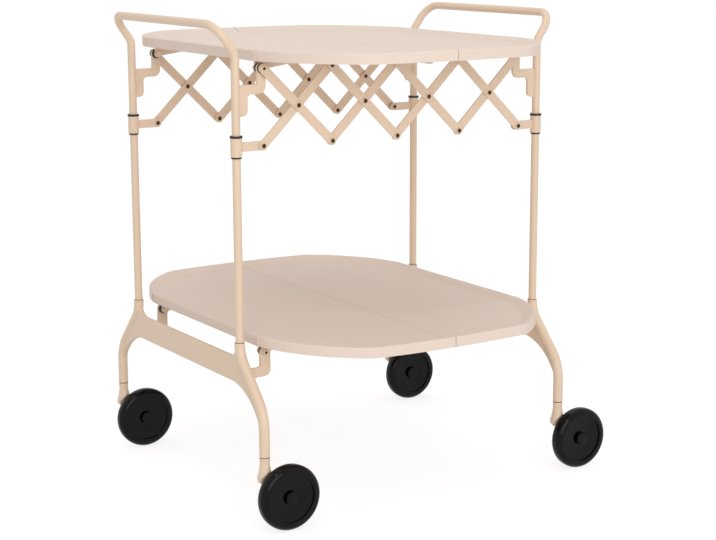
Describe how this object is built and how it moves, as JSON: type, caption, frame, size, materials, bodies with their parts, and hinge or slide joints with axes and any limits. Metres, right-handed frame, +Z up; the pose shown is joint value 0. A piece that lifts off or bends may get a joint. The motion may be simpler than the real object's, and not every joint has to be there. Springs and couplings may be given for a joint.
{
  "type": "folding serving cart",
  "caption": "Folding tiered serving cart: bowed handle hoops, oval trays hinged across the middle, lattice side links on sliding collars, splayed cast feet and swivel casters.",
  "frame": {"origin": "on the floor under the middle of the cart and its casters as they trail", "axes": "+X the way the cart folds, towards the end the casters trail to; +Y along the handle bars, to the rear; +Z up"},
  "size_m": [0.6312, 0.652, 0.706],
  "materials": {
    "frame_paint": "satin",
    "tray_laminate": "satin",
    "black_nylon": "matte",
    "wheel_black": "gloss",
    "fastener_steel": "satin"
  },
  "bodies": {
    "left_frame": {"handle_hoop_left": "frame_paint", "foot_casting_left": "frame_paint", "top_brackets_left": "frame_paint", "low_brackets_left": "frame_paint", "pivot_bolts_left": "frame_paint", "pivot_washers_left": "black_nylon"},
    "right_frame": {"handle_hoop_right": "frame_paint", "foot_casting_right": "frame_paint", "top_brackets_right": "frame_paint", "low_brackets_right": "frame_paint", "pivot_bolts_right": "frame_paint", "pivot_washers_right": "black_nylon"},
    "top_left": {"top_tray_left": "tray_laminate", "top_straps_left": "frame_paint", "top_hinge_pins": "fastener_steel"},
    "top_right": {"top_tray_right": "tray_laminate", "top_straps_right": "frame_paint"},
    "low_left": {"low_tray_left": "tray_laminate", "low_straps_left": "frame_paint", "low_hinge_pins": "fastener_steel"},
    "low_right": {"low_tray_right": "tray_laminate", "low_straps_right": "frame_paint"},
    "left_collars": {"collar_left_front": "frame_paint", "collar_left_rear": "frame_paint", "collar_rings_left": "black_nylon", "collar_pins_left": "frame_paint"},
    "right_collars": {"collar_right_front": "frame_paint", "collar_right_rear": "frame_paint", "collar_rings_right": "black_nylon", "collar_pins_right": "frame_paint"},
    "links_a1": {"link_a1_front": "frame_paint", "link_a1_rear": "frame_paint", "rivets_a1": "frame_paint"},
    "links_b1": {"link_b1_front": "frame_paint", "link_b1_rear": "frame_paint"},
    "links_a2": {"link_a2_front": "frame_paint", "link_a2_rear": "frame_paint", "rivets_a2": "frame_paint"},
    "links_b2": {"link_b2_front": "frame_paint", "link_b2_rear": "frame_paint", "rivets_b2": "frame_paint"},
    "links_a3": {"link_a3_front": "frame_paint", "link_a3_rear": "frame_paint", "rivets_a3": "frame_paint"},
    "links_b3": {"link_b3_front": "frame_paint", "link_b3_rear": "frame_paint", "rivets_b3": "frame_paint"},
    "links_a4": {"link_a4_front": "frame_paint", "link_a4_rear": "frame_paint"},
    "links_b4": {"link_b4_front": "frame_paint", "link_b4_rear": "frame_paint", "rivets_b4": "frame_paint"},
    "caster_left_front": {"caster_stem_left_front": "frame_paint"},
    "wheel_left_front": {"caster_wheel_left_front": "wheel_black"},
    "caster_left_rear": {"caster_stem_left_rear": "frame_paint"},
    "wheel_left_rear": {"caster_wheel_left_rear": "wheel_black"},
    "caster_right_front": {"caster_stem_right_front": "frame_paint"},
    "wheel_right_front": {"caster_wheel_right_front": "wheel_black"},
    "caster_right_rear": {"caster_stem_right_rear": "frame_paint"},
    "wheel_right_rear": {"caster_wheel_right_rear": "wheel_black"}
  },
  "joints": [
    {"name": "fold", "type": "hinge", "parent": "left_frame", "child": "top_left", "pos_m": [-0.2409, 0, 0.639], "axis": [0, -1, 0], "range_deg": [0, 80.6]},
    {"name": "top_middle_hinge", "type": "hinge", "parent": "top_left", "child": "top_right", "pos_m": [-0.0209, 0, 0.645], "axis": [0, -1, 0], "range_deg": [-161.21, 0]},
    {"name": "right_top_pivot", "type": "hinge", "parent": "top_right", "child": "right_frame", "pos_m": [0.1991, 0, 0.639], "axis": [0, -1, 0], "range_deg": [0, 80.61]},
    {"name": "left_low_pivot", "type": "hinge", "parent": "left_frame", "child": "low_left", "pos_m": [-0.2409, 0, 0.237], "axis": [0, -1, 0], "range_deg": [0, 80.61]},
    {"name": "right_low_pivot", "type": "hinge", "parent": "right_frame", "child": "low_right", "pos_m": [0.1991, 0, 0.237], "axis": [0, -1, 0], "range_deg": [-80.61, 0]},
    {"name": "left_link_pivot", "type": "hinge", "parent": "left_frame", "child": "links_a1", "pos_m": [-0.2409, 0, 0.639], "axis": [0, -1, 0], "range_deg": [-40.19, 0]},
    {"name": "left_outer_cross", "type": "hinge", "parent": "links_a1", "child": "links_b1", "pos_m": [-0.1859, 0, 0.5855], "axis": [0, -1, 0], "range_deg": [0, 80.37]},
    {"name": "left_low_joint", "type": "hinge", "parent": "links_a1", "child": "links_b2", "pos_m": [-0.1309, 0, 0.532], "axis": [0, -1, 0], "range_deg": [0, 80.37]},
    {"name": "left_top_joint", "type": "hinge", "parent": "links_b1", "child": "links_a2", "pos_m": [-0.1309, 0, 0.639], "axis": [0, -1, 0], "range_deg": [-80.37, 0]},
    {"name": "left_collar_pin", "type": "hinge", "parent": "links_b1", "child": "left_collars", "pos_m": [-0.2409, 0, 0.532], "axis": [0, -1, 0], "range_deg": [-40.19, 0]},
    {"name": "right_link_pivot", "type": "hinge", "parent": "right_frame", "child": "links_b4", "pos_m": [0.1991, 0, 0.639], "axis": [0, -1, 0], "range_deg": [0, 40.19]},
    {"name": "right_outer_cross", "type": "hinge", "parent": "links_b4", "child": "links_a4", "pos_m": [0.1441, 0, 0.5855], "axis": [0, -1, 0], "range_deg": [-80.37, 0]},
    {"name": "right_low_joint", "type": "hinge", "parent": "links_b4", "child": "links_a3", "pos_m": [0.0891, 0, 0.532], "axis": [0, -1, 0], "range_deg": [-80.37, 0]},
    {"name": "right_top_joint", "type": "hinge", "parent": "links_a4", "child": "links_b3", "pos_m": [0.0891, 0, 0.639], "axis": [0, -1, 0], "range_deg": [0, 80.37]},
    {"name": "right_collar_pin", "type": "hinge", "parent": "links_a4", "child": "right_collars", "pos_m": [0.1991, 0, 0.532], "axis": [0, -1, 0], "range_deg": [0, 40.19]},
    {"name": "swivel_left_front", "type": "hinge", "parent": "left_frame", "child": "caster_left_front", "pos_m": [-0.2809, -0.235, 0.12], "axis": [0, 0, 1], "continuous": true},
    {"name": "roll_left_front", "type": "hinge", "parent": "caster_left_front", "child": "wheel_left_front", "pos_m": [-0.2519, -0.251, 0.0475], "axis": [0, 1, 0], "continuous": true},
    {"name": "swivel_left_rear", "type": "hinge", "parent": "left_frame", "child": "caster_left_rear", "pos_m": [-0.2809, 0.235, 0.12], "axis": [0, 0, 1], "continuous": true},
    {"name": "roll_left_rear", "type": "hinge", "parent": "caster_left_rear", "child": "wheel_left_rear", "pos_m": [-0.2519, 0.219, 0.0475], "axis": [0, 1, 0], "continuous": true},
    {"name": "swivel_right_front", "type": "hinge", "parent": "right_frame", "child": "caster_right_front", "pos_m": [0.2391, -0.235, 0.12], "axis": [0, 0, 1], "continuous": true},
    {"name": "roll_right_front", "type": "hinge", "parent": "caster_right_front", "child": "wheel_right_front", "pos_m": [0.2681, -0.251, 0.0475], "axis": [0, 1, 0], "continuous": true},
    {"name": "swivel_right_rear", "type": "hinge", "parent": "right_frame", "child": "caster_right_rear", "pos_m": [0.2391, 0.235, 0.12], "axis": [0, 0, 1], "continuous": true},
    {"name": "roll_right_rear", "type": "hinge", "parent": "caster_right_rear", "child": "wheel_right_rear", "pos_m": [0.2681, 0.219, 0.0475], "axis": [0, 1, 0], "continuous": true}
  ],
  "couplings": [
    {"joint": "top_middle_hinge", "follows": "fold", "ratio": -2},
    {"joint": "right_top_pivot", "follows": "fold", "ratio": 1},
    {"joint": "left_low_pivot", "follows": "fold", "ratio": 1},
    {"joint": "right_low_pivot", "follows": "fold", "ratio": -1},
    {"joint": "left_link_pivot", "follows": "fold", "ratio": -0.49852},
    {"joint": "left_outer_cross", "follows": "fold", "ratio": 0.99705},
    {"joint": "left_low_joint", "follows": "fold", "ratio": 0.99705},
    {"joint": "left_top_joint", "follows": "fold", "ratio": -0.99705},
    {"joint": "left_collar_pin", "follows": "fold", "ratio": -0.49852},
    {"joint": "right_link_pivot", "follows": "fold", "ratio": 0.49852},
    {"joint": "right_outer_cross", "follows": "fold", "ratio": -0.99705},
    {"joint": "right_low_joint", "follows": "fold", "ratio": -0.99705},
    {"joint": "right_top_joint", "follows": "fold", "ratio": 0.99705},
    {"joint": "right_collar_pin", "follows": "fold", "ratio": 0.49852}
  ]
}
